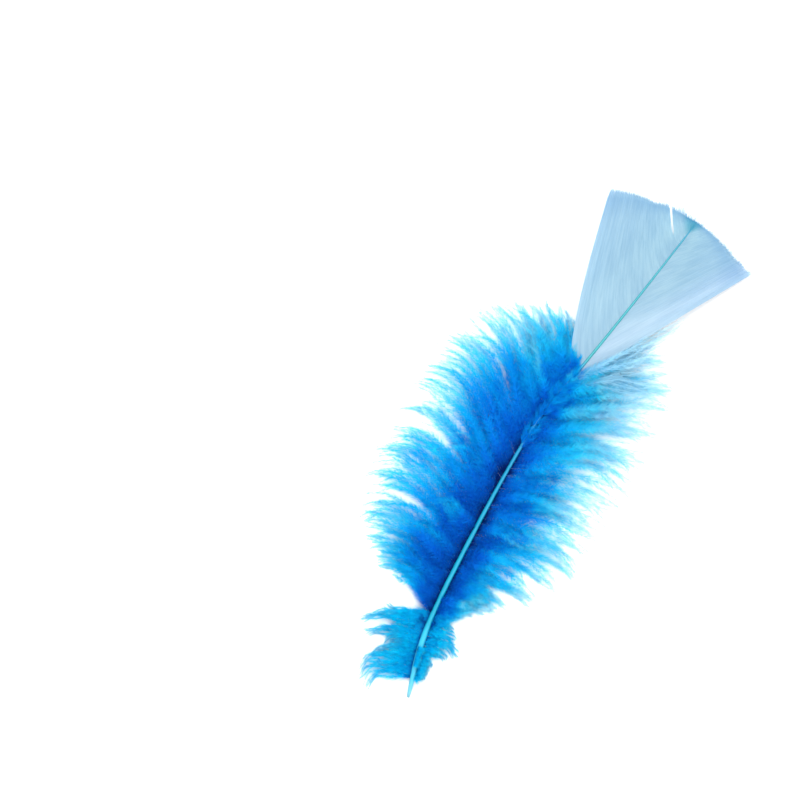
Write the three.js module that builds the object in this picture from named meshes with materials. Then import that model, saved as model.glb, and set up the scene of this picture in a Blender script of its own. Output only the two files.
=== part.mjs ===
// A dyed craft feather, lying flat: a soft body plume with a square-cut tip.
// A bare quill end leads into a long fluffy lower part, and a flat webbed vane
// of close barbs spreads like a fan at the far end.
//
// Frame, in millimetres: the feather lies on z = 0. +Y runs along the quill from
// its bare end to the tip of the vane, +X is to the right seen from above, and
// +Z is up. The pieces are drawn from the quill's bare end, and then moved
// together so that the origin is the middle of the feather's footprint.

import * as THREE from "three";

// Quill
const QUILL_LENGTH = 140; // straight line from the bare end to the tip
const QUILL_BOW = 8.6; // how far its middle bends to the left of that line
const QUILL_ARCH = 5.6; // height of its middle, lifted by the down below it
const QUILL_DIAMETER = 1.65; // the hollow lower part
const VANE_QUILL_DIAMETER = 0.8; // where the webbed vane begins
const TIP_DIAMETER = 0.4;
const BARE_END_LENGTH = 7; // the tapered point at the bare end

// Places along the quill, as shares of its length
const TAPER_START = 0.14; // where the hollow part ends
const TUFT_START = 0.035;
const TUFT_END = 0.165;
const DOWN_START = 0.185;
const VANE_START = 0.665;
const VANE_END = 0.985;

// Barbed parts
const SIDE_GAP = 0.35; // clearance between the quill and the barbed solids
const VANE_THICKNESS = 0.6;
const VANE_REST = 0.1; // height of the vane's outer corners
const VANE_BULGE = 3; // how far its rear edge bows outwards
const DOWN_CREST = 1.0; // how far the down stands above the quill beside it
const DOWN_MARGIN_HEIGHT = 0.9; // thickness where the barb tips thin out
const TUFT_HEIGHT = 3.4;

// The quill's course: x bends left, z arches up, y runs from 0 to QUILL_LENGTH.
// Each row is the share of the length, of the bow and of the arch.
const COURSE = [
  [0.0, 0.0, 0.17],
  [0.1, 0.5, 0.27],
  [0.19, 0.72, 0.45],
  [0.3, 0.86, 0.68],
  [0.42, 0.97, 0.9],
  [0.52, 1.0, 1.0],
  [0.6, 0.93, 0.99],
  [0.68, 0.68, 0.87],
  [0.83, 0.34, 0.5],
  [1.0, 0.0, 0.13],
];

const quillCourse = new THREE.CatmullRomCurve3(
  COURSE.map(
    ([along, bow, arch]) =>
      new THREE.Vector3(
        -bow * QUILL_BOW,
        along * QUILL_LENGTH,
        arch * QUILL_ARCH,
      ),
  ),
  false,
  "centripetal",
);

// Outer margins that the barb tips reach, from the quill's base to its tip, as
// x and y measured from the quill's bare end.
const MARGINS = {
  downLeft: [
    [-24, 19],
    [-30, 25],
    [-36, 35],
    [-39.5, 46],
    [-39.5, 63],
    [-40, 78],
    [-38, 91],
    [-29, 101],
    [-16, 105],
  ],
  downRight: [
    [4, 25],
    [14, 36],
    [18.5, 49],
    [20, 64],
    [20.5, 78],
    [20.5, 93],
    [18, 104],
    [11.5, 111],
  ],
  vaneLeft: [
    [-23, 137],
    [-16, 139.6],
    [-8, 141],
    [-1.6, 141],
  ],
  vaneRight: [
    [18.6, 136.8],
    [12, 138.6],
    [6, 140.3],
    [1.6, 141],
  ],
  tuftLeft: [
    [-8, -4],
    [-15, -1],
    [-20, 7],
    [-18, 15],
  ],
  tuftRight: [
    [1.5, 5.5],
    [3.5, 9],
    [6, 14.5],
    [4.5, 19],
  ],
};

function marginCurve(points) {
  const placed = points.map(([x, y]) => new THREE.Vector3(x, y, 0));
  return new THREE.CatmullRomCurve3(placed, false, "centripetal");
}

// The quill's radius at a share of its length: a pointed bare end, a full
// hollow part, and then a long even taper to the tip.
function quillRadius(share) {
  const full = QUILL_DIAMETER / 2;
  const atVane = VANE_QUILL_DIAMETER / 2;
  const atTip = TIP_DIAMETER / 2;
  const pointShare = BARE_END_LENGTH / QUILL_LENGTH;
  if (share < pointShare) {
    return THREE.MathUtils.lerp(0.45 * full, full, Math.sqrt(share / pointShare));
  }
  if (share < VANE_START) {
    const down = THREE.MathUtils.smoothstep(share, TAPER_START, VANE_START);
    return THREE.MathUtils.lerp(full, atVane, down);
  }
  return THREE.MathUtils.lerp(atVane, atTip, (share - VANE_START) / (1 - VANE_START));
}

// A round tapered rod whose axis is bent along the quill's course.
function makeQuill() {
  const steps = 48;
  const sides = 12;
  const profile = [new THREE.Vector2(0, 0)];
  for (let i = 0; i <= steps; i += 1) {
    const share = i / steps;
    profile.push(new THREE.Vector2(quillRadius(share), share));
  }
  profile.push(new THREE.Vector2(0, 1));
  const geometry = new THREE.LatheGeometry(profile, sides);
  const position = geometry.getAttribute("position");
  for (let i = 0; i < position.count; i += 1) {
    const share = position.getY(i);
    const centre = quillCourse.getPointAt(share);
    const ahead = quillCourse.getTangentAt(share);
    const right = new THREE.Vector3(ahead.y, -ahead.x, 0).normalize();
    const up = new THREE.Vector3().crossVectors(right, ahead);
    centre.addScaledVector(right, position.getX(i));
    centre.addScaledVector(up, position.getZ(i));
    position.setXYZ(i, centre.x, centre.y, centre.z);
  }
  return geometry;
}

// The point beside the quill where a barb grows out of it, clear of the quill.
function barbRoot(share, side) {
  const centre = quillCourse.getPointAt(share);
  const ahead = quillCourse.getTangentAt(share);
  const right = new THREE.Vector3(ahead.y, -ahead.x, 0).normalize();
  return centre.addScaledVector(right, side * (quillRadius(share) + SIDE_GAP));
}

// A closed solid filled by the barbs on one side of the quill. It runs along the
// quill between two shares of its length, and out to a margin. heights gives the
// underside and the top for a barb rooted at height z, at a share of its way out.
// bulge bows the rearmost barbs outwards, and less so towards the tip.
function makeBarbed({ side, from, to, margin, bulge, steps, across, heights }) {
  const outline = marginCurve(margin);
  const geometry = new THREE.BoxGeometry(1, 1, 1, across, steps, 1);
  const position = geometry.getAttribute("position");
  for (let i = 0; i < position.count; i += 1) {
    const out = 0.5 + side * position.getX(i);
    const along = 0.5 + position.getY(i);
    const level = 0.5 + position.getZ(i);
    const root = barbRoot(THREE.MathUtils.lerp(from, to, along), side);
    const tip = outline.getPointAt(along);
    const bow = side * bulge * (1 - along) * 4 * out * (1 - out);
    const [low, high] = heights(out, root.z);
    position.setXYZ(
      i,
      THREE.MathUtils.lerp(root.x, tip.x, out) + bow,
      THREE.MathUtils.lerp(root.y, tip.y, out),
      THREE.MathUtils.lerp(low, high, level),
    );
  }
  return geometry;
}

// The webbed vane is a thin plate that falls from the quill to the surface.
function vaneHeights(out, rootHeight) {
  const inner = Math.max(rootHeight - VANE_THICKNESS / 2, VANE_REST);
  const low = THREE.MathUtils.lerp(inner, VANE_REST, Math.pow(out, 1.4));
  return [low, low + VANE_THICKNESS];
}

// The down rests flat on the surface and thins out towards its tips.
function downHeights(out, rootHeight) {
  const inner = rootHeight + DOWN_CREST;
  const fall = Math.pow(1 - out, 1.25);
  return [0, THREE.MathUtils.lerp(DOWN_MARGIN_HEIGHT, inner, fall)];
}

// The tufts at the bare end are small cushions that swell between their ends.
function tuftHeights(out) {
  const swell = Math.sin(Math.PI * (0.25 + 0.65 * out));
  return [0, THREE.MathUtils.lerp(DOWN_MARGIN_HEIGHT, TUFT_HEIGHT, swell)];
}

const feather = new THREE.Group();

function addPiece(name, geometry, color, roughness) {
  const material = new THREE.MeshStandardMaterial({
    color,
    roughness,
    metalness: 0,
  });
  const mesh = new THREE.Mesh(geometry, material);
  mesh.name = name;
  feather.add(mesh);
}

addPiece("quill_shaft", makeQuill(), 0x2cc3dc, 0.35);

for (const [sideName, side] of [
  ["left", -1],
  ["right", 1],
]) {
  const sideKey = sideName[0].toUpperCase() + sideName.slice(1);
  addPiece(
    `vane_${sideName}`,
    makeBarbed({
      side,
      from: VANE_START + 0.012,
      to: VANE_END,
      margin: MARGINS[`vane${sideKey}`],
      bulge: VANE_BULGE,
      steps: 14,
      across: 10,
      heights: vaneHeights,
    }),
    0xaad8ee,
    0.6,
  );
  addPiece(
    `down_${sideName}`,
    makeBarbed({
      side,
      from: DOWN_START,
      to: VANE_START,
      margin: MARGINS[`down${sideKey}`],
      bulge: 0,
      steps: 28,
      across: 12,
      heights: downHeights,
    }),
    0x0a86de,
    0.9,
  );
  addPiece(
    `basal_tuft_${sideName}`,
    makeBarbed({
      side,
      from: TUFT_START,
      to: TUFT_END,
      margin: MARGINS[`tuft${sideKey}`],
      bulge: 0,
      steps: 10,
      across: 8,
      heights: tuftHeights,
    }),
    0x08a6ee,
    0.9,
  );
}

// The origin goes to the middle of the footprint.
const middle = new THREE.Box3().setFromObject(feather, true).getCenter(new THREE.Vector3());
feather.position.set(-middle.x, -middle.y, 0);

export default feather;
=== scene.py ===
import math

import bmesh
import bpy
import numpy as np
from mathutils import Matrix, Vector


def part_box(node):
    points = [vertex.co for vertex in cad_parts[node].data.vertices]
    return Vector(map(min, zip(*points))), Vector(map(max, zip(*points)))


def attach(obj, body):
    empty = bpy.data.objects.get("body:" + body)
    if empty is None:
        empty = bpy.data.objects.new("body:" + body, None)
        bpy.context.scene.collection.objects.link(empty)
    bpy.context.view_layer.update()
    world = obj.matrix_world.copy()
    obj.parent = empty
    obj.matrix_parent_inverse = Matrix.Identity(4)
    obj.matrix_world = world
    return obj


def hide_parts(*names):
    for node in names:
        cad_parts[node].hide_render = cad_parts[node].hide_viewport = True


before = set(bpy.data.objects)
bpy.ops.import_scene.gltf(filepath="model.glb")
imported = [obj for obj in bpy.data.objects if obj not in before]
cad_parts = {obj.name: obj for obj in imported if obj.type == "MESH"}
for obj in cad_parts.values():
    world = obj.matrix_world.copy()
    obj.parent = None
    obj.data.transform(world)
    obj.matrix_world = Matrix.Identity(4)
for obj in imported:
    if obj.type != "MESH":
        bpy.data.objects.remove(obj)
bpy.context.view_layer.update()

# The quill: one rod of keratin that the whole feather grows from. Its lower part is a hollow
# round tube with a blunt pointed end, and above the basal tuft it is a solid shaft with a groove
# along its underside, which thins to a hair at the tip. It is dyed right through.

# lengths are in millimetres where no comment says otherwise, and MM turns them into metres
MM = 0.001
QUILL_LENGTH = 140
# how far it bows to the left, and how high it arches off the surface
QUILL_BOW = 8.6
QUILL_ARCH = 5.6
# the radius and the turn of the CAD quill's bare end, which give its middle from the quill's box
BARE_END_RADIUS = 0.371
BARE_END_TURN = math.radians(17)
QUILL_RINGS = 110
QUILL_SIDES = 18
# the groove's depth as a share of the radius and its half width in radians, and the shares of the
# length at which it starts and over which it deepens
GROOVE_DEPTH = 0.34
GROOVE_WIDTH = 0.42
GROOVE_START = 0.1
GROOVE_RUN = 0.12
# the streaks' size and relief in millimetres
STREAK_WIDTH = 0.25
STREAK_LENGTH = 4
STREAK_RELIEF = 0.03
# the share of the length each way over which its direction is measured
DIRECTION_STEP = 0.01
# shares of the length, of the bow and of the arch
COURSE = [
    (0.0, 0.0, 0.17),
    (0.1, 0.5, 0.27),
    (0.19, 0.72, 0.45),
    (0.3, 0.86, 0.68),
    (0.42, 0.97, 0.9),
    (0.52, 1.0, 1.0),
    (0.6, 0.93, 0.99),
    (0.68, 0.68, 0.87),
    (0.83, 0.34, 0.5),
    (1.0, 0.0, 0.13),
]
# shares of the length, and the quill's radius there
THICKNESS = [(0.0, 0.36), (0.015, 0.56), (0.05, 0.78), (0.11, 0.78), (0.16, 0.66), (0.3, 0.6),
             (0.42, 0.5), (0.6, 0.42), (0.665, 0.4), (0.85, 0.29), (0.97, 0.22), (1.0, 0.1)]
quill_low, quill_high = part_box("quill_shaft")
bare_end = np.array([
    quill_high.x / MM - BARE_END_RADIUS * math.cos(BARE_END_TURN),
    quill_low.y / MM + BARE_END_RADIUS * math.sin(BARE_END_TURN),
    0.0,
])


def smooth_curve(points, steps=600):
    """Points on a smooth curve through a few given ones, and each one's share of its length."""
    given = np.array(points, float)
    padded = np.vstack([2 * given[0] - given[1], given, 2 * given[-1] - given[-2]])
    place = np.linspace(0, len(given) - 1, steps)
    i = np.minimum(place.astype(int), len(given) - 2)
    f = (place - i)[:, None]
    a, b, c, d = padded[i], padded[i + 1], padded[i + 2], padded[i + 3]
    curve = b + 0.5 * f * (c - a + f * (2 * a - 5 * b + 4 * c - d + f * (3 * (b - c) + d - a)))
    gone = np.cumsum(np.linalg.norm(np.diff(curve, axis=0), axis=1))
    return curve, np.concatenate([[0], gone / gone[-1]])


def on_curve(curve, share):
    """Places on a smooth curve at shares of its length."""
    points, shares = curve
    return np.stack([np.interp(share, shares, axis) for axis in points.T], axis=-1)


def unit(vectors):
    return vectors / np.maximum(np.linalg.norm(vectors, axis=-1, keepdims=True), 1e-12)


quill = smooth_curve([
    bare_end + (-bow * QUILL_BOW, along * QUILL_LENGTH, arch * QUILL_ARCH)
    for along, bow, arch in COURSE
])


def quill_frame(share):
    """The quill's centre, its way forward, its right and its radius, at shares of its length."""
    centre = on_curve(quill, share)
    before = on_curve(quill, np.maximum(share - DIRECTION_STEP, 0))
    after = on_curve(quill, np.minimum(share + DIRECTION_STEP, 1))
    ahead = unit(after - before)
    right = unit(np.cross(ahead, (0, 0, 1)))
    return centre, ahead, right, np.interp(share, *zip(*THICKNESS))


def linear(code):
    """A colour given as an sRGB hex code, as linear red, green, blue and alpha."""
    levels = [int(code[i:i + 2], 16) / 255 for i in (1, 3, 5)]
    return [v / 12.92 if v <= 0.04045 else ((v + 0.055) / 1.055) ** 2.4 for v in levels] + [1]


def add_node(material, kind, settings=None, links=None):
    """Adds a node with its settings, and its inputs set to a value or linked from a socket."""
    node = material.node_tree.nodes.new(kind)
    for name, value in (settings or {}).items():
        setattr(node, name, value)
    for name, value in (links or {}).items():
        if isinstance(value, bpy.types.NodeSocket):
            material.node_tree.links.new(value, node.inputs[name])
        else:
            node.inputs[name].default_value = value
    return node


def new_material(name):
    material = bpy.data.materials.new(name)
    material.use_nodes = True
    material.node_tree.nodes.clear()
    return material


def fill_ramp(node, stops):
    """Sets a colour ramp's stops, each a place from 0 to 1 and a hex colour. Returns its colour
    socket."""
    ramp = node.color_ramp
    while len(ramp.elements) > 1:
        ramp.elements.remove(ramp.elements[-1])
    ramp.elements[0].position = stops[0][0]
    ramp.elements[0].color = linear(stops[0][1])
    for place, code in stops[1:]:
        ramp.elements.new(place).color = linear(code)
    return node.outputs["Color"]


def place_piece(name, mesh, material, slot, *nodes):
    """Makes a mesh a piece of the feather that stands for the CAD nodes named."""
    piece = bpy.data.objects.new(name, mesh)
    bpy.context.scene.collection.objects.link(piece)
    mesh.materials.append(material)
    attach(piece, "root")
    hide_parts(*nodes)


# Dyed keratin, polished by growth: a clear, hard, slightly waxy shine over a colour that pales
# where the tube is hollow, with fine streaks that run lengthwise.
quill_keratin = new_material("quill_keratin_dyed")
where = add_node(quill_keratin, "ShaderNodeTexCoord").outputs["Object"]
forward = add_node(quill_keratin, "ShaderNodeSeparateXYZ", links={"Vector": where}).outputs["Y"]
gone = add_node(quill_keratin, "ShaderNodeMapRange", links={
    "Value": forward,
    "From Min": float(bare_end[1]) * MM,
    "From Max": float(bare_end[1] + QUILL_LENGTH) * MM,
}).outputs["Result"]
streaks_across = 1 / (STREAK_WIDTH * MM)
streaks_along = 1 / (STREAK_LENGTH * MM)
streak_place = add_node(quill_keratin, "ShaderNodeMapping", links={
    "Vector": where, "Scale": (streaks_across, streaks_along, streaks_across)}).outputs["Vector"]
streaks = add_node(quill_keratin, "ShaderNodeTexNoise", links={
    "Vector": streak_place, "Scale": 1.0, "Detail": 3.0}).outputs["Fac"]
streak_tone = fill_ramp(add_node(quill_keratin, "ShaderNodeValToRGB", links={"Fac": streaks}), [
    (0.3, "#B4C8D2"), (0.65, "#FFFFFF")])
dye = fill_ramp(add_node(quill_keratin, "ShaderNodeValToRGB", links={"Fac": gone}), [
    (0.0, "#78B8C8"), (0.035, "#40B4D0"), (0.1, "#30B4D0"), (0.14, "#0098B4"), (0.35, "#0090B0"),
    (0.48, "#0884AC"), (0.58, "#0878BC"), (0.65, "#1090CC"), (0.69, "#34989E"), (0.92, "#30909E"),
    (1.0, "#2480A0")])
streaked = add_node(quill_keratin, "ShaderNodeMix", {"data_type": "RGBA", "blend_type": "MULTIPLY"}, {
    "Factor": 0.5, "A": dye, "B": streak_tone}).outputs["Result"]
relief = add_node(quill_keratin, "ShaderNodeBump", links={
    "Height": streaks, "Strength": 0.15, "Distance": STREAK_RELIEF * MM}).outputs["Normal"]
horn = add_node(quill_keratin, "ShaderNodeBsdfPrincipled", links={
    "Base Color": streaked, "Roughness": 0.32, "IOR": 1.55, "Specular IOR Level": 0.3,
    "Normal": relief})
add_node(quill_keratin, "ShaderNodeOutputMaterial", links={"Surface": horn.outputs["BSDF"]})

# a ring is extruded along the quill, and each new ring is moved to its place and shape
rod = bmesh.new()
ring = bmesh.ops.create_circle(rod, segments=QUILL_SIDES, radius=1)["verts"]
around = {v: math.atan2(v.co.y, v.co.x) for v in ring}
edges = list(rod.edges)
bmesh.ops.contextual_create(rod, geom=edges)


def shape_ring(verts, share):
    """Moves one ring of the rod to its place: round at first, then with a groove below."""
    centre, ahead, right, radius = quill_frame(np.array(share))
    up = np.cross(right, ahead)
    groove = GROOVE_DEPTH * min(1.0, max(0.0, (share - GROOVE_START) / GROOVE_RUN))
    for vert, angle in verts:
        below = math.exp(-((angle + math.pi / 2) / GROOVE_WIDTH) ** 2)
        reach = radius * (1 - groove * below)
        vert.co = Vector((centre + reach * (math.cos(angle) * right + math.sin(angle) * up)) * MM)


verts = [(v, around[v]) for v in ring]
shape_ring(verts, 0.0)
for step in range(1, QUILL_RINGS + 1):
    made = bmesh.ops.extrude_edge_only(rod, edges=edges)["geom"]
    edges = [g for g in made if isinstance(g, bmesh.types.BMEdge)]
    fresh = [g for g in made if isinstance(g, bmesh.types.BMVert)]
    # each new corner takes the angle of the old one that it was drawn out of
    order = {}
    for edge in rod.edges:
        a, b = edge.verts
        if (a in fresh) != (b in fresh):
            order[a if a in fresh else b] = b if a in fresh else a
    before = dict(verts)
    verts = [(v, before[order[v]]) for v in fresh]
    shape_ring(verts, step / QUILL_RINGS)
bmesh.ops.contextual_create(rod, geom=edges)
bmesh.ops.recalc_face_normals(rod, faces=rod.faces)
for face in rod.faces:
    face.smooth = len(face.verts) == 4
quill_mesh = bpy.data.meshes.new("quill")
rod.to_mesh(quill_mesh)
rod.free()
place_piece("quill_shaft_keratin", quill_mesh, quill_keratin, "quill_keratin", "quill_shaft")

# The webbed vane: at the tip the barbs on each side lie edge to edge, hooked together into a thin
# flat sheet that is cut off square across the end. Each barb is a fine stem with a narrow web on
# both sides, and frays into loose hairs. The sheet falls from the quill to the surface.
VANE_SPAN = (0.645, 0.992)
VANE_BARBS = 140
VANE_STEPS = 26
# how far from the quill's middle its barbs are rooted, as a share of its radius
VANE_ROOT = 0.7
# the width of a barb's blades as a share of half the gap to the next barb, so that they overlap,
# and the widest gap that they can close
WEB_OVERLAP = 1.35
WIDEST_GAP = 0.36
# the blades' least width, the share of a barb over which they taper off at its end, and how far
# the front one of each pair dips under the next barb's, as a share of its width
BLADE_WIDTH = 0.012
BLADE_TAPER = 0.04
BLADE_DIP = 0.06
# how high a stem stands out of its web, and how high the web lies at its square-cut edge
STEM_RISE = 0.06
EDGE_HEIGHT = 0.65
# how much the barbs differ in length
UNEVEN_ENDS = 0.006
# the rear barbs are palest on the right, so the left side's tones start this far along
LEFT_TONE_START = 0.3
VANE_MARGIN = {
    -1: [(-23, 137), (-16, 139.3), (-12, 139.8), (-8, 140.8), (0.25, 141.1)],
    1: [(18.6, 136.8), (12, 138.6), (6, 140.3), (-0.25, 141.1)],
}
# how far the rear edge of each side curves outwards
VANE_BULGE = {-1: 1.7, 1: 0.2}
# how much the barbs crowd together towards the tip, at their roots and at their ends. Below 1
# they stand further apart there.
ROOT_CROWDING = 1.5
END_CROWDING = 0.81
# where along the left margin the web has come unhooked, how wide the slit is, over what share of the
# margin the barbs beside it give way, and the shares of a barb at which it opens and is full
SLIT_SHARE = 0.675
SLIT_WIDTH = 0.95
SLIT_SPREAD = 0.05
SLIT_START = 0.22
SLIT_FULL = 0.45
HAIRS_PER_BARB = 5
HAIR_LENGTH = 1.5
HAIR_WIDTH = 0.05
# how much the hairs' directions vary, in radians, and how near they come to the surface
HAIR_SPREAD = 0.12
HAIR_HEIGHT = 0.1
# where along the left margin the hairs are longest, over what share of it, and how much longer
RAGGED_SHARE = 0.84
RAGGED_SPREAD = 0.1
RAGGED_GAIN = 1.5
# cells of the noise along a barb and across all the barbs: lines about 0.7 mm apart, and bands of
# ten times that
LINE_CELLS = (3, 70, 1)
BAND_CELLS = (1.5, 7, 1)
# how much of the light goes through the web instead of off it
WEB_LIGHT_THROUGH = 0.4
seeded = np.random.default_rng(41)


def strand_mesh(name, points, sides, widths, uv):
    """A mesh of many strands. points is strands by steps by x, y, z in millimetres. Each strand
    is a ribbon of the widths given along its side vectors, with its last step as one point. uv
    holds each strand's U along its steps, and V at its middle and half its spread."""
    strands, steps = points.shape[:2]
    pairs = points[:, :-1, None] + sides[:, :-1, None] * widths[:, :-1, None, None] * np.array(
        [-0.5, 0.5])[None, None, :, None]
    verts = np.concatenate([pairs.reshape(strands, -1, 3), points[:, -1:]], axis=1)
    per = verts.shape[1]
    along, middle, spread = uv
    u = np.concatenate([np.repeat(along[:, :-1], 2, axis=1), along[:, -1:]], axis=1)
    v = middle[:, None] + spread * np.append(np.tile([-1.0, 1.0], steps - 1), 0.0)[None, :]
    quads = [(2 * i, 2 * i + 1, 2 * i + 3, 2 * i + 2) for i in range(steps - 2)]
    corners = np.array(sum(quads, ()) + (2 * steps - 4, 2 * steps - 3, 2 * steps - 2))
    index = (np.arange(strands)[:, None] * per + corners[None, :]).ravel()
    sizes = np.tile([4] * (steps - 2) + [3], strands)
    placed = np.stack([u.ravel(), v.ravel()], axis=1)[index]
    return array_mesh(name, verts.reshape(-1, 3), index, sizes, placed)


def array_mesh(name, verts, index, sizes, uv):
    """A mesh from arrays: places in millimetres, the corners of each face, and the map."""
    mesh = bpy.data.meshes.new(name)
    mesh.vertices.add(len(verts))
    mesh.vertices.foreach_set("co", (verts * MM).astype(np.float32).ravel())
    mesh.loops.add(len(index))
    mesh.loops.foreach_set("vertex_index", index.astype(np.int32))
    mesh.polygons.add(len(sizes))
    mesh.polygons.foreach_set("loop_start", (np.cumsum(sizes) - sizes).astype(np.int32))
    mesh.polygons.foreach_set("loop_total", sizes.astype(np.int32))
    mesh.update(calc_edges=True)
    layer = mesh.uv_layers.new(name="OFBake", do_init=False)
    layer.data.foreach_set("uv", np.clip(uv, 0.001, 0.999).astype(np.float32).ravel())
    mesh.shade_smooth()
    return mesh


def soften(x):
    """A smooth step from 0 to 1."""
    x = np.clip(x, 0, 1)
    return x * x * (3 - 2 * x)


def vane_stems(side):
    """The stems of one side's barbs, from the quill out to the square-cut edge, with their places
    along the quill and along that edge."""
    v = (np.arange(VANE_BARBS) + 0.5) / VANE_BARBS
    centre, ahead, right, radius = quill_frame(
        VANE_SPAN[0] + (VANE_SPAN[1] - VANE_SPAN[0]) * (1 - (1 - v) ** ROOT_CROWDING))
    root = centre + side * right * (radius * VANE_ROOT)[:, None]
    edge = smooth_curve([(bare_end[0] + x, bare_end[1] + y, 0) for x, y in VANE_MARGIN[side]])
    out = 1 - (1 - v) ** END_CROWDING
    tip = on_curve(edge, out)
    tip = root + (tip - root) * (1 + UNEVEN_ENDS * seeded.standard_normal(VANE_BARBS))[:, None]
    u = np.linspace(0, 1, VANE_STEPS)[None, :]
    stems = root[:, None] * (1 - u[..., None]) + tip[:, None] * u[..., None]
    stems[..., 0] += side * VANE_BULGE[side] * (1 - v)[:, None] * np.sin(math.pi * u ** 0.7)
    if side < 0:
        apart = np.sign(out - SLIT_SHARE) * np.exp(-np.abs(out - SLIT_SHARE) / SLIT_SPREAD)
        stems[..., 0] += SLIT_WIDTH / 2 * apart[:, None] * soften(
            (u - SLIT_START) / (SLIT_FULL - SLIT_START))
    # it falls slowly at first, and has one long wave and a few short, low ones in it
    fall = u ** 1.4
    ripple = 0.25 * np.sin(4.5 * v[:, None] + 2 * u) + 0.05 * np.sin(31 * v[:, None] + 3 * u)
    stems[..., 2] = root[:, 2:3] * (1 - fall) + (EDGE_HEIGHT + ripple * u) * fall
    return stems, v, out


def vane_mesh(name, side):
    """One side's web: each barb is a stem with a thin blade on both sides that overlaps the next
    barb's, and a few loose hairs at its end."""
    stems, v, out = vane_stems(side)
    ahead = unit(np.gradient(stems, axis=1))
    up = np.array([0, 0, 1.0])
    across = unit(np.cross(ahead, up))
    gap = np.linalg.norm(np.diff(stems, axis=0), axis=2)
    gap = np.clip(np.vstack([gap, gap[-1:]]), 0.05, WIDEST_GAP)
    u = np.linspace(0, 1, VANE_STEPS)
    end = np.clip((1 - u) / BLADE_TAPER, 0, 1) ** 0.6
    half = gap * 0.5 * WEB_OVERLAP * end + BLADE_WIDTH
    rows = np.stack([
        stems - across * half[..., None],
        stems + up * STEM_RISE,
        stems + across * half[..., None] - up * half[..., None] * BLADE_DIP,
    ], axis=2)
    place = (np.arange(len(v))[:, None] + np.array([0.05, 0.5, 0.95])) / len(v)
    if side < 0:
        place = LEFT_TONE_START + (1 - LEFT_TONE_START) * place
    uv = np.stack(np.broadcast_arrays(u[None, :, None], place[:, None, :]), axis=-1)
    first = (np.arange(len(v))[:, None, None] * VANE_STEPS * 3
             + np.arange(VANE_STEPS - 1)[None, :, None] * 3 + np.arange(2)[None, None, :])
    index = np.stack([first, first + 1, first + 4, first + 3], axis=-1).ravel()
    web = array_mesh("web", rows.reshape(-1, 3), index, np.full(len(index) // 4, 4),
                     uv.reshape(-1, 2)[index])
    # the hairs start just inside the edge, and most are short
    barb = np.repeat(np.arange(len(v)), HAIRS_PER_BARB)
    start = stems[barb, -2] + across[barb, -2] * (
        seeded.uniform(-0.5, 0.5, len(barb)) * gap[barb, -2])[:, None]
    way = unit(ahead[barb, -1] + across[barb, -1] * seeded.normal(0, HAIR_SPREAD, len(barb))[:, None])
    step = np.linalg.norm(stems[barb, -1] - stems[barb, -2], axis=1)
    ragged = (side < 0) * np.exp(-((out[barb] - RAGGED_SHARE) / RAGGED_SPREAD) ** 2)
    long = step * 0.9 + HAIR_LENGTH * (1 + RAGGED_GAIN * ragged) * seeded.random(len(barb)) ** 2
    hairs = start[:, None] + way[:, None] * (np.linspace(0, 1, 4) * long[:, None])[..., None]
    hairs[..., 2] = np.maximum(hairs[..., 2], HAIR_HEIGHT)
    widths = np.tile([HAIR_WIDTH, HAIR_WIDTH, HAIR_WIDTH * 0.7, 0], (len(barb), 1))
    along = np.tile([0.96, 0.975, 0.985, 0.995], (len(barb), 1))
    loose = strand_mesh("hairs", hairs, np.repeat(across[barb, -1][:, None], 4, axis=1), widths,
                        (along, (barb + 0.5) / len(v), 0.3 / len(v)))
    return join_meshes(name, [web, loose])


def join_meshes(name, meshes):
    """Joins meshes into one, and removes the ones it was made from."""
    joined = bmesh.new()
    for mesh in meshes:
        joined.from_mesh(mesh)
        bpy.data.meshes.remove(mesh)
    whole = bpy.data.meshes.new(name)
    joined.to_mesh(whole)
    joined.free()
    return whole


# Dyed vane web: dry keratin threads, so thin that light passes through them. The dye is pale, a
# little deeper towards the cut edge, with fine lines along the barbs.
vane_web = new_material("vane_web_dyed")
along_barb = add_node(vane_web, "ShaderNodeUVMap", {"uv_map": "OFBake"}).outputs["UV"]
split = add_node(vane_web, "ShaderNodeSeparateXYZ", links={"Vector": along_barb})
line_place = add_node(vane_web, "ShaderNodeMapping", links={
    "Vector": along_barb, "Scale": LINE_CELLS}).outputs["Vector"]
lines = add_node(vane_web, "ShaderNodeTexNoise", links={
    "Vector": line_place, "Scale": 1.0, "Detail": 4.0, "Roughness": 0.7}).outputs["Fac"]
band_place = add_node(vane_web, "ShaderNodeMapping", links={
    "Vector": along_barb, "Scale": BAND_CELLS}).outputs["Vector"]
bands = add_node(vane_web, "ShaderNodeTexNoise", links={
    "Vector": band_place, "Scale": 1.0, "Detail": 2.0}).outputs["Fac"]
outward = fill_ramp(add_node(vane_web, "ShaderNodeValToRGB", links={"Fac": split.outputs["X"]}), [
    (0.0, "#BCD8E2"), (0.35, "#C0DCE4"), (0.8, "#B4D4E2"), (0.95, "#A2C8DE"), (1.0, "#BCDCEA")])
backward = fill_ramp(add_node(vane_web, "ShaderNodeValToRGB", links={"Fac": split.outputs["Y"]}), [
    (0.0, "#FAF6FA"), (0.12, "#F8F3FA"), (0.35, "#DAE5EE"), (0.9, "#D4E4EC"), (0.95, "#8CCADA"),
    (1.0, "#4CB0C6")])
toned = add_node(vane_web, "ShaderNodeMix", {"data_type": "RGBA", "blend_type": "MULTIPLY"}, {
    "Factor": 1.0, "A": outward, "B": backward}).outputs["Result"]
line_tone = fill_ramp(add_node(vane_web, "ShaderNodeValToRGB", links={"Fac": lines}), [
    (0.3, "#B9D3E4"), (0.6, "#FFFFFF")])
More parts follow.
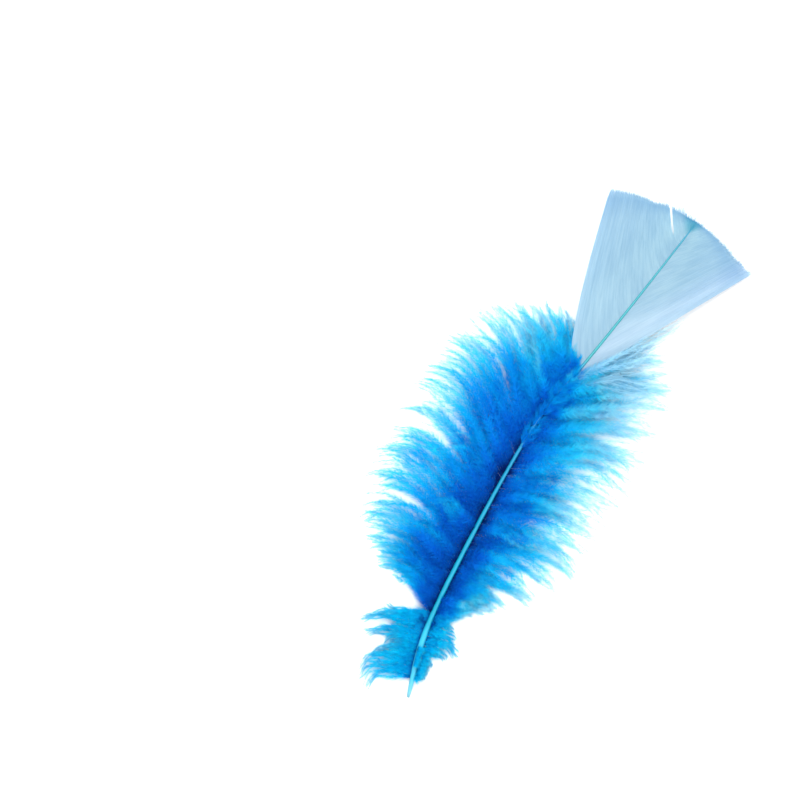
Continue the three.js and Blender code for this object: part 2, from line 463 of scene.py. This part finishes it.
lined = add_node(vane_web, "ShaderNodeMix", {"data_type": "RGBA", "blend_type": "MULTIPLY"}, {
    "Factor": 0.5, "A": toned, "B": line_tone}).outputs["Result"]
band_tone = fill_ramp(add_node(vane_web, "ShaderNodeValToRGB", links={"Fac": bands}), [
    (0.35, "#C9DEEE"), (0.65, "#FFFFFF")])
banded = add_node(vane_web, "ShaderNodeMix", {"data_type": "RGBA", "blend_type": "MULTIPLY"}, {
    "Factor": 0.4, "A": lined, "B": band_tone}).outputs["Result"]
surface = add_node(vane_web, "ShaderNodeBsdfPrincipled", links={
    "Base Color": banded, "Roughness": 0.6, "IOR": 1.5})
through = add_node(vane_web, "ShaderNodeBsdfTranslucent", links={"Color": banded})
thin = add_node(vane_web, "ShaderNodeMixShader", links={
    0: WEB_LIGHT_THROUGH, 1: surface.outputs["BSDF"], 2: through.outputs["BSDF"]})
add_node(vane_web, "ShaderNodeOutputMaterial", links={"Surface": thin.outputs["Shader"]})

for side, word in ((-1, "left"), (1, "right")):
    web = vane_mesh("vane_" + word, side)
    place_piece("vane_" + word + "_barbs", web, vane_web, "vane_barbs", "vane_" + word)

# The down: below the vane the barbs don't hook together. Each is a limp stem with hundreds of long
# soft barbules all round it, and they mat into a deep fluffy cushion. They lean forward at the
# quill, curl back at their ends and cling together there into wisps, and the upper ones are shorter.

# for each side: the shares of the quill's length that it grows from, and the course of its margin
DOWN_SPAN = {-1: (0.155, 0.668), 1: (0.13, 0.668)}
DOWN_MARGIN = {
    -1: [(-21, 24), (-29, 28), (-36, 36.5), (-39.5, 47), (-39.5, 63), (-40, 78), (-38, 91),
         (-29, 101), (-15, 105)],
    1: [(0, 23.5), (5, 28), (14.8, 36.5), (20, 49), (21.5, 64), (22, 78), (21, 92), (17, 102),
        (10.5, 109)],
}
# for each layer: its height as a share of the root's, the height added, its reach as a share of
# the way to the margin, and how much that varies
DOWN_LAYERS = [(0.2, 0.7, 1.0, 0.04), (0.75, 0.8, 0.95, 0.06), (1.1, 1.2, 0.78, 0.15)]
# how far from the root each layer's barbules begin, as a share of the barb
BARE_PART = (0.1, 0.0, 0.0)
DOWN_BARBS = {-1: (86, 62, 52), 1: (72, 50, 44)}
BARB_STEPS = 18
BARBULES = (480, 680, 800)
# how far from the quill's middle the barbs are rooted, as a share of its radius
DOWN_ROOT = 0.8
# how far they sway sideways and up and down, and how long a barb is that sways fully
SWAY_SIDEWAYS = 0.8
SWAY_UP = 0.5
SWAY_LENGTH = 15
# how near the stems and the barbules come to the surface
STEM_HEIGHT = 0.3
BARBULE_HEIGHT = 0.2
# the fewest and most barbs that cling together in each layer
DOWN_CLUMPS = [(1, 2), (1, 3), (1, 3)]
# how far barbs turn back at their ends: the rear, middle and front ones
DOWN_CURL = {-1: (0.85, 0.95, 0.3), 1: (0.4, 0.5, 0.1)}
# how far towards the pale front barbs' tone each side goes
DOWN_FRONT = {-1: 0.75, 1: 1.0}
# how far along its colours each side's barbs go, and how slowly they pale
DOWN_FADE = {-1: (0.8, 1.0), 1: (1.0, 1.05)}
# real barbules are 0.01 to 0.02 mm wide, and these are as fine as their number allows
BARBULE_LENGTH = 2.5
BARBULE_WIDTH = 0.075
# a stem's width at its end, how much wider it is at its root, how much wider still where it grows
# out of the quill, and over what length
STEM_WIDTH = 0.05
STEM_TAPER = 0.11
STEM_FLARE = 0.55
STEM_FLARE_LENGTH = 1.4
# cells of the noise along a barb and across all the barbs: patches about 5 mm wide, and strands
# of 0.5 mm, the finest that show
PATCH_CELLS = (4, 14, 1)
STRAND_CELLS = (9, 150, 1)
# how much of the light goes through the threads instead of off them
DOWN_LIGHT_THROUGH = 0.55


def down_stems(side, span, margin, count, layer, lean=0.5, curl=(0, 0, 0), lift=0.0,
               clump_size=(2, 4), unruly=1.0, fall=0.7):
    """The stems of one layer of barbs on one side, and each one's place along the layer. lean is
    how far they lean forward at the quill, and curl how far they turn back at their ends, rear,
    middle and front ones, in radians. lift raises their roots from the quill's side towards its
    top. clump_size is the fewest and most barbs that cling together, unruly how much their
    directions and heights vary, and fall the share of its height that a barb loses at its end."""
    share_of_root, added, reach, varied = layer
    # the roots stand unevenly along the quill and up its side
    v = (np.arange(count) + 0.5 + seeded.uniform(-0.4, 0.4, count)) / count
    centre, ahead, right, radius = quill_frame(span[0] + (span[1] - span[0]) * v)
    root = centre + side * right * (radius * DOWN_ROOT * (1 - lift))[:, None]
    root[:, 2] += radius * (lift + seeded.uniform(-0.3, 0.3, count))
    # neighbours fall into clumps, and what varies is partly each barb's own and partly its clump's
    clump = np.repeat(np.arange(count), seeded.integers(*clump_size, count, endpoint=True))[:count]

    def varying(each, together):
        return each * seeded.standard_normal(count) + together * seeded.standard_normal(count)[clump]

    edge = smooth_curve([(bare_end[0] + x, bare_end[1] + y, 0) for x, y in margin])
    tip = on_curve(edge, np.clip(v + varying(0.01, 0.012), 0, 1))
    long = np.clip(reach + varying(varied * 0.6, varied), 0.35, 1.04)
    tip = root + (tip - root) * (1, 1, 0) * long[:, None]
    length = np.linalg.norm(tip - root, axis=1)[:, None]
    out = unit(tip - root)
    turn = -side * (np.interp(v, (0, 0.5, 1), curl) + unruly * varying(0.18, 0.25))
    end = np.stack([out[:, 0] * np.cos(turn) - out[:, 1] * np.sin(turn),
                    out[:, 0] * np.sin(turn) + out[:, 1] * np.cos(turn), np.zeros(count)], axis=1)
    forward = (lean + varying(0.1, 0.08))[:, None]
    start = unit(side * right * np.cos(forward) + ahead * np.sin(forward))
    # a cubic curve that leaves the quill along start and reaches the tip along end
    u = np.linspace(0, 1, BARB_STEPS)[None, :, None]
    b, c = root + start * length * 0.3, tip - end * length * 0.42
    stems = (root[:, None] * (1 - u) ** 3 + 3 * b[:, None] * u * (1 - u) ** 2
             + 3 * c[:, None] * u ** 2 * (1 - u) + tip[:, None] * u ** 3)
    # it rises from its root to the layer's height, and falls again towards its end
    away = u[..., 0]
    level = (share_of_root * root[:, 2] + added) * np.clip(1 + unruly * varying(0.12, 0.15), 0.4, 1.5)
    rise = soften(away / 0.3)
    stems[..., 2] = root[:, 2:3] * (1 - rise) + level[:, None] * (1 - fall * away ** 1.3) * rise
    # it sways, more so towards its end
    phase = seeded.uniform(0, 2 * math.pi, (count, 1))
    wave = phase + 2 * math.pi * seeded.uniform(0.8, 2.4, (count, 1)) * away
    sideways = np.stack([-out[:, 1], out[:, 0], np.zeros(count)], axis=1)
    sway = np.minimum(length / SWAY_LENGTH, 1) * away
    stems += sideways[:, None] * (SWAY_SIDEWAYS * sway * np.sin(wave))[..., None]
    stems[..., 2] += SWAY_UP * sway * np.cos(wave)
    # the barbs of a clump draw together towards their ends
    middle = np.zeros_like(stems)
    for number in range(clump.max() + 1):
        middle[clump == number] = stems[clump == number].mean(axis=0)
    cling = seeded.uniform(0.1, 0.6, count)[clump][:, None, None] * soften((u - 0.3) / 0.7)
    stems += (middle - stems) * cling
    stems[..., 2] = np.maximum(stems[..., 2], STEM_HEIGHT)
    return stems, v


def grow_barbules(stems, v, count, length, spread, bare, fade):
    """The barbules that stand off a set of stems: their points, sides, widths and map. They get
    shorter, fewer and closer to the stem towards its end, which leaves a fine point. spread is
    their angle to the stem in degrees, at its root and at its end, bare the share of the stem
    that has none, and fade how far along its colours a barb goes and how slowly it pales."""
    barbs = len(stems)
    # they start all along the stem, more of them near its root
    at = bare + (1 - bare) * np.sort(1 - (1 - seeded.random((barbs, count))) ** 0.8, axis=1)
    place = at * (BARB_STEPS - 1)
    i = np.minimum(place.astype(int), BARB_STEPS - 2)
    f = (place - i)[..., None]
    rows = np.arange(barbs)[:, None]
    start = stems[rows, i] * (1 - f) + stems[rows, i + 1] * f
    forward = unit(np.gradient(stems, axis=1))
    forward = unit(forward[rows, i] * (1 - f) + forward[rows, i + 1] * f)
    flank = unit(np.cross(forward, (0, 0, 1)))
    above = np.cross(flank, forward)
    # most stand off to its two sides, and the others all round it
    roll = seeded.normal(0, 0.75, (barbs, count, 1)) + math.pi * seeded.integers(0, 2, (barbs, count, 1))
    off = np.cos(roll) * flank + np.sin(roll) * above
    spread = spread[0] + (spread[1] - spread[0]) * at ** 1.4 + seeded.normal(0, 8, at.shape)
    spread = np.radians(spread)[..., None]
    way = np.cos(spread) * forward + np.sin(spread) * off
    reach = length * (1 - 0.72 * at ** 3) * seeded.uniform(0.5, 1.2, at.shape)
    reach = (reach * (0.5 + 0.5 * soften(at / 0.1)))[..., None]
    # each bends forward half way along
    bent = unit(way + 0.7 * forward + 0.25 * seeded.standard_normal(way.shape))
    mid = start + way * reach * 0.5
    tip = mid + bent * reach * 0.5
    points = np.stack([start, mid, tip], axis=2).reshape(-1, 3, 3)
    points[..., 2] = np.maximum(points[..., 2], BARBULE_HEIGHT)
    # and is twisted, so that more or less of its flat side shows from above
    twist = seeded.normal(0, 0.8, (barbs, count, 1))
    flat = unit(np.cross(way, off))
    edge = unit(np.cos(twist) * np.cross(flat, way) + np.sin(twist) * flat)
    sides = np.repeat(edge.reshape(-1, 1, 3), 3, axis=1)
    width = BARBULE_WIDTH * (1 - 0.3 * at.reshape(-1, 1))
    widths = width * np.array([[1, 0.75, 0]])
    whole = np.linalg.norm(np.diff(stems, axis=1), axis=2).sum(axis=1)[:, None]
    step = np.cos(spread[..., 0]) * reach[..., 0] / whole
    u = np.stack([at, at + 0.5 * step + 0.004, at + step + 0.008], axis=2).reshape(-1, 3)
    return points, sides, widths, (fade[0] * u ** fade[1], np.repeat(v, count), 0.002)


def stem_ribbons(stems, v, fade, flare):
    """The stems themselves as narrow ribbons, which flare where they grow out of the quill and
    taper to a point."""
    forward = unit(np.gradient(stems, axis=1))
    sides = unit(np.cross(forward, (0, 0, 1)))
    whole = np.linalg.norm(np.diff(stems, axis=1), axis=2).sum(axis=1)[:, None]
    u = np.tile(np.linspace(0, 1, BARB_STEPS), (len(stems), 1))
    widths = STEM_WIDTH + STEM_TAPER * (1 - u) + flare * np.exp(-u * whole / STEM_FLARE_LENGTH)
    return strand_mesh("stems", stems, sides, widths, (fade[0] * u ** fade[1], v, 0.002))


def place_down(name, stems, v, barbules, length, material, slot, node, spread=(66, 26), bare=0.0,
               fade=(1.0, 1.0), flare=STEM_FLARE):
    """Makes one piece of down from its stems."""
    fluff = grow_barbules(stems, v, barbules, length, spread, bare, fade)
    mesh = join_meshes(name, [stem_ribbons(stems, v, fade, flare), strand_mesh("fluff", *fluff)])
    place_piece(name, mesh, material, slot, node)


def down_material(name, outward_stops, tone_stops, near_vane):
    """Dyed down: matt keratin threads finer than a hair. Light goes through the loose ends and is
    caught between the threads near the quill, and the colour stops given paint this in over the dye:
    painted light pales the ends, and painted shade deepens the colour near the quill. near_vane is
    how much paler the foremost barbs are, or darker if it is below zero."""
    down = new_material(name)
    mapped = add_node(down, "ShaderNodeUVMap", {"uv_map": "OFBake"}).outputs["UV"]
    split = add_node(down, "ShaderNodeSeparateXYZ", links={"Vector": mapped})
    patch_place = add_node(down, "ShaderNodeMapping", links={
        "Vector": mapped, "Scale": PATCH_CELLS}).outputs["Vector"]
    patches = add_node(down, "ShaderNodeTexNoise", links={
        "Vector": patch_place, "Scale": 1.0, "Detail": 2.0}).outputs["Fac"]
    # the colours run from a barb's root to its end: the blue of the dye, deepened to navy at the root
    # by painted shade and paled at the loose ends by painted light. They are moved on or back in
    # patches, whose paler ones are partly painted highlights, and on towards the vane, but not at the
    # very root, which stays in painted shade.
    uneven = add_node(down, "ShaderNodeMapRange", links={
        "Value": patches, "From Min": 0.35, "From Max": 0.68, "To Min": -0.06, "To Max": 0.2})
    forward = add_node(down, "ShaderNodeMapRange", links={
        "Value": split.outputs["Y"], "From Min": 0.4, "To Max": near_vane})
    shift = add_node(down, "ShaderNodeMath", {"operation": "ADD"}, {
        0: uneven.outputs["Result"], 1: forward.outputs["Result"]}).outputs["Value"]
    clear = add_node(down, "ShaderNodeMapRange", links={
        "Value": split.outputs["X"], "From Max": 0.15}).outputs["Result"]
    shifted = add_node(down, "ShaderNodeMath", {"operation": "MULTIPLY_ADD"}, {
        0: shift, 1: clear, 2: split.outputs["X"]}).outputs["Value"]
    # the dye's blue with the painted shade at the root and the painted light at the ends
    dye = fill_ramp(add_node(down, "ShaderNodeValToRGB", links={"Fac": shifted}), outward_stops)
    strand_place = add_node(down, "ShaderNodeMapping", links={
        "Vector": mapped, "Scale": STRAND_CELLS}).outputs["Vector"]
    strands = add_node(down, "ShaderNodeTexNoise", links={
        "Vector": strand_place, "Scale": 1.0, "Detail": 2.0}).outputs["Fac"]
    tone = fill_ramp(add_node(down, "ShaderNodeValToRGB", links={"Fac": strands}), tone_stops)
    dyed = add_node(down, "ShaderNodeMix", {"data_type": "RGBA", "blend_type": "MULTIPLY"}, {
        "Factor": 1.0, "A": dye, "B": tone}).outputs["Result"]
    thread = add_node(down, "ShaderNodeBsdfPrincipled", links={
        "Base Color": dyed, "Roughness": 0.6, "Specular IOR Level": 0.1})
    through = add_node(down, "ShaderNodeBsdfTranslucent", links={"Color": dyed})
    soft = add_node(down, "ShaderNodeMixShader", links={
        0: DOWN_LIGHT_THROUGH, 1: thread.outputs["BSDF"], 2: through.outputs["BSDF"]})
    add_node(down, "ShaderNodeOutputMaterial", links={"Surface": soft.outputs["Shader"]})
    return down


# the blue dye, with painted shade making the roots navy and painted light paling the ends
down_dye_painted_shade_and_light = down_material(
    "down_fibre_dye_painted_shade_and_light",
    [(0.0, "#001C60"), (0.03, "#003C94"), (0.065, "#006CCC"), (0.13, "#0080E0"), (0.22, "#0090E8"),
     (0.29, "#00A0EC"), (0.36, "#00AEEE"), (0.43, "#00BEF2"), (0.5, "#10CEF5"), (0.59, "#30DCF5"),
     (0.7, "#66E2F4"), (0.81, "#90E4F2"), (0.91, "#ACE8F4"), (1.0, "#C0ECF4")],
    [(0.3, "#CCDFF2"), (0.6, "#FFFFFF")],
    0.32)
for side, word in ((-1, "left"), (1, "right")):
    for number, layer in enumerate(DOWN_LAYERS):
        stems, v = down_stems(side, DOWN_SPAN[side], DOWN_MARGIN[side], DOWN_BARBS[side][number], layer,
                              curl=DOWN_CURL[side], clump_size=DOWN_CLUMPS[number],
                              unruly=0.4 + 0.4 * number)
        place_down(f"down_{word}_layer_{number + 1}", stems, DOWN_FRONT[side] * v, BARBULES[number],
                   BARBULE_LENGTH, down_dye_painted_shade_and_light, "down_barbs", "down_" + word, bare=BARE_PART[number],
                   fade=(layer[2] * DOWN_FADE[side][0], DOWN_FADE[side][1]))

# Between the down and the vane some barbs are half of each: straighter and paler than the down,
# with short barbules that hook together near the quill and come loose further out.
HALF_SPAN = (0.63, 0.662)
HALF_MARGIN = {
    -1: [(-18, 102), (-15, 105), (-12.5, 108)],
    1: [(19, 97), (14.5, 104), (12.3, 108), (11, 113), (10, 118), (9.3, 122.5)],
}
# for each side: the layers, as for the down, and how many barbs each has
HALF_LAYERS = {
    -1: [((0.9, 0.8, 0.95, 0.1), 12)],
    1: [((0.9, 0.8, 0.95, 0.1), 32), ((0.35, 0.7, 1.0, 0.06), 30)],
}
HALF_FADE = {-1: (0.6, 1.0), 1: (1.0, 1.0)}
HALF_BARBULES = 330
HALF_BARBULE_LENGTH = 1.7
# on the right the same threads have less dye in them, so that they are pale from root to end
half_dyed = down_material(
    "half_web_fibre_dyed",
    [(0.0, "#78D0EC"), (0.2, "#A0DCF0"), (0.6, "#C0E8F4"), (1.0, "#D4EEF6")],
    [(0.3, "#D4E8F4"), (0.6, "#FFFFFF")],
    0.1)
for side, word in ((-1, "left"), (1, "right")):
    for number, (layer, count) in enumerate(HALF_LAYERS[side]):
        stems, v = down_stems(side, HALF_SPAN, HALF_MARGIN[side], count, layer, lean=0.9,
                              curl=(0.3, 0.2, 0), clump_size=(1, 3))
        place_down(f"down_{word}_half_web_{number + 1}", stems, v, HALF_BARBULES,
                   HALF_BARBULE_LENGTH, down_dye_painted_shade_and_light if side < 0 else half_dyed, "down_barbs",
                   "down_" + word, spread=(45, 24), fade=HALF_FADE[side])

# Just below the vane short barbs grow from the top of the quill and lie forward over it, so that it
# disappears in the down before it comes out again between the two halves of the vane. They are
# sparse at first, then close.

# for each part: the shares of the quill's length that it grows from, and how many barbs it has
CREST_PARTS = (((0.49, 0.59), 8), ((0.575, 0.655), 20))
CREST_MARGIN = {
    -1: ([(-10.6, 75), (-10.6, 82), (-10.2, 88)], [(-10.4, 86), (-9.4, 92), (-7.6, 97)]),
    1: ([(-6.3, 75), (-5.6, 82), (-4.3, 88)], [(-4, 86), (-3, 90), (-2, 95)]),
}
# where along the down each part's tone starts, and how much further it goes
CREST_FRONT = ((0.35, 0.15), (0.55, 0.35))
# as for the down's layers
CREST_LAYER = (1.0, 0.25, 0.95, 0.05)
CREST_BARBULES = 300
CREST_BARBULE_LENGTH = 2.1
for side, word in ((-1, "left"), (1, "right")):
    for part, (span, count) in enumerate(CREST_PARTS):
        stems, v = down_stems(side, span, CREST_MARGIN[side][part], count, CREST_LAYER, lean=1.1,
                              lift=0.85, clump_size=(1, 2), unruly=0.2, fall=0.12)
        front = CREST_FRONT[part][0] + CREST_FRONT[part][1] * v
        place_down(f"down_{word}_crest_{part + 1}", stems, front, CREST_BARBULES,
                   CREST_BARBULE_LENGTH, down_dye_painted_shade_and_light, "down_barbs", "down_" + word,
                   spread=(34, 14), fade=(0.26, 0.2), flare=0.0)

# The basal tufts: short soft barbs at the bare end of the quill, part of the feather's second,
# smaller plume. They are matted and smooth, and the left one sweeps backwards.
TUFT_SPAN = (0.035, 0.158)
TUFT_MARGIN = {
    -1: [(-9, -3.8), (-12.5, -2.4), (-15, 1), (-14.7, 5.4), (-12.5, 8.4), (-20.8, 8.6), (-21, 11),
         (-17, 17.5)],
    1: [(0.2, 4.2), (1.6, 6.5), (1.4, 10), (3.5, 14), (5.8, 16), (2.2, 19.5), (0.4, 22)],
}
TUFT_CURL = {-1: (1.1, 1.0, -0.1), 1: (0.5, 0.4, 0.2)}
# as for the down's layers
TUFT_LAYER = (0.5, 1.4, 0.97, 0.08)
TUFT_BARBS = {-1: 50, 1: 26}
TUFT_BARBULES = 470
TUFT_BARBULE_LENGTH = 1.9
# the same threads, matted together, so that their colour is even and bright almost to the root,
# which painted shade turns navy beside the quill; their paler ends are painted light
tuft_dye_painted_shade_and_light = down_material(
    "tuft_fibre_dye_painted_shade_and_light",
    [(0.0, "#003C94"), (0.05, "#0098DC"), (0.13, "#00D0F4"), (0.5, "#00DCF6"), (0.8, "#48DCF2"),
     (1.0, "#90DCEC")],
    [(0.3, "#B8D8F0"), (0.6, "#FFFFFF")],
    -0.1)
for side, word in ((-1, "left"), (1, "right")):
    stems, v = down_stems(side, TUFT_SPAN, TUFT_MARGIN[side], TUFT_BARBS[side], TUFT_LAYER,
                          lean=0.1, curl=TUFT_CURL[side], clump_size=(5, 12))
    place_down("basal_tuft_" + word + "_down", stems, v, TUFT_BARBULES, TUFT_BARBULE_LENGTH,
               tuft_dye_painted_shade_and_light, "tuft_barbs", "basal_tuft_" + word, spread=(38, 12))

# A few of the left tuft's barbs have caught on the other side. They are rooted at the left, and lie
# across the top of the quill.
WRAP_SPAN = (0.056, 0.094)
WRAP_MARGIN = [(-0.6, 8), (-1.2, 10), (-1.8, 12.6)]
WRAP_LAYER = (1.0, 1.2, 0.97, 0.1)
WRAP_BARBS = 12
WRAP_BARBULES = 200
WRAP_BARBULE_LENGTH = 1.1
stems, v = down_stems(1, WRAP_SPAN, WRAP_MARGIN, WRAP_BARBS, WRAP_LAYER, lean=0.2, lift=1.9,
                      unruly=0.5)
place_down("basal_tuft_left_wrap", stems, v, WRAP_BARBULES, WRAP_BARBULE_LENGTH, tuft_dye_painted_shade_and_light,
           "tuft_barbs", "basal_tuft_left", spread=(50, 20))

# The table: a plain white sheet under soft overhead light, seen from straight above through a
# long lens. The camera is turned so that the feather leans to the right as it does in the photo.

# the photo's width, and where the quill's bare end and its tip are in it, in pixels
PHOTO_WIDTH = 800
BARE_END_PIXEL = (408, 697)
TIP_PIXEL = (694, 226)
# the lens's focal length, and how wide the picture is behind it
LENS = 200
SENSOR = 36
# half the table's width in metres, and the cells of its paint's grain in a metre, about 1 mm each
TABLE_HALF_WIDTH = 1.5
GRAIN_CELLS = 900
SKY_STRENGTH = 1.1
# each lamp's name, place in metres, width in metres and power in watts
LAMPS = [("key", (-0.35, 0.45, 0.9), 0.5, 9.0), ("fill", (0.5, -0.2, 0.9), 0.9, 5.0)]

floor_mesh = bpy.data.meshes.new("table")
flat = bmesh.new()
bmesh.ops.create_grid(flat, x_segments=1, y_segments=1, size=TABLE_HALF_WIDTH)
flat.to_mesh(floor_mesh)
flat.free()
# matt white paint, which shows nothing but a very faint grain
table_paint = new_material("table_matt_white")
grain = add_node(table_paint, "ShaderNodeTexNoise", links={
    "Vector": add_node(table_paint, "ShaderNodeTexCoord").outputs["Object"],
    "Scale": GRAIN_CELLS, "Detail": 2.0}).outputs["Fac"]
paint = fill_ramp(add_node(table_paint, "ShaderNodeValToRGB", links={"Fac": grain}), [
    (0.0, "#EBEBEB"), (1.0, "#EFEFEF")])
matt = add_node(table_paint, "ShaderNodeBsdfPrincipled", links={
    "Base Color": paint, "Roughness": 0.9, "Specular IOR Level": 0.1})
add_node(table_paint, "ShaderNodeOutputMaterial", links={"Surface": matt.outputs["BSDF"]})
floor = bpy.data.objects.new("table", floor_mesh)
floor_mesh.materials.append(table_paint)
bpy.context.scene.collection.objects.link(floor)

world = bpy.data.worlds.new("soft_studio")
bpy.context.scene.world = world
world.use_nodes = True
world.node_tree.nodes["Background"].inputs["Color"].default_value = (1, 1, 1, 1)
world.node_tree.nodes["Background"].inputs["Strength"].default_value = SKY_STRENGTH
for name, place, size, power in LAMPS:
    lamp = bpy.data.lights.new(name, "AREA")
    lamp.size = size
    lamp.energy = power
    light = bpy.data.objects.new(name, lamp)
    bpy.context.scene.collection.objects.link(light)
    light.location = place
    light.rotation_euler = (-Vector(place)).to_track_quat("-Z", "Y").to_euler()

# the quill's two ends are put where they are in the photo
run = Vector((TIP_PIXEL[0] - BARE_END_PIXEL[0], BARE_END_PIXEL[1] - TIP_PIXEL[1]))
turn = math.atan2(run.x, run.y)
scale = QUILL_LENGTH / run.length * MM
centre = Vector((PHOTO_WIDTH / 2 - BARE_END_PIXEL[0], BARE_END_PIXEL[1] - PHOTO_WIDTH / 2)) * scale
centre.rotate(Matrix.Rotation(turn, 2))
lens = bpy.data.cameras.new("camera")
lens.lens = LENS
lens.sensor_width = SENSOR
camera = bpy.data.objects.new("camera", lens)
bpy.context.scene.collection.objects.link(camera)
camera.location = (bare_end[0] * MM + centre.x, bare_end[1] * MM + centre.y,
                   PHOTO_WIDTH * scale * LENS / SENSOR)
camera.rotation_euler = (0, 0, turn)
bpy.context.scene.camera = camera
bpy.context.scene.view_settings.view_transform = "Standard"
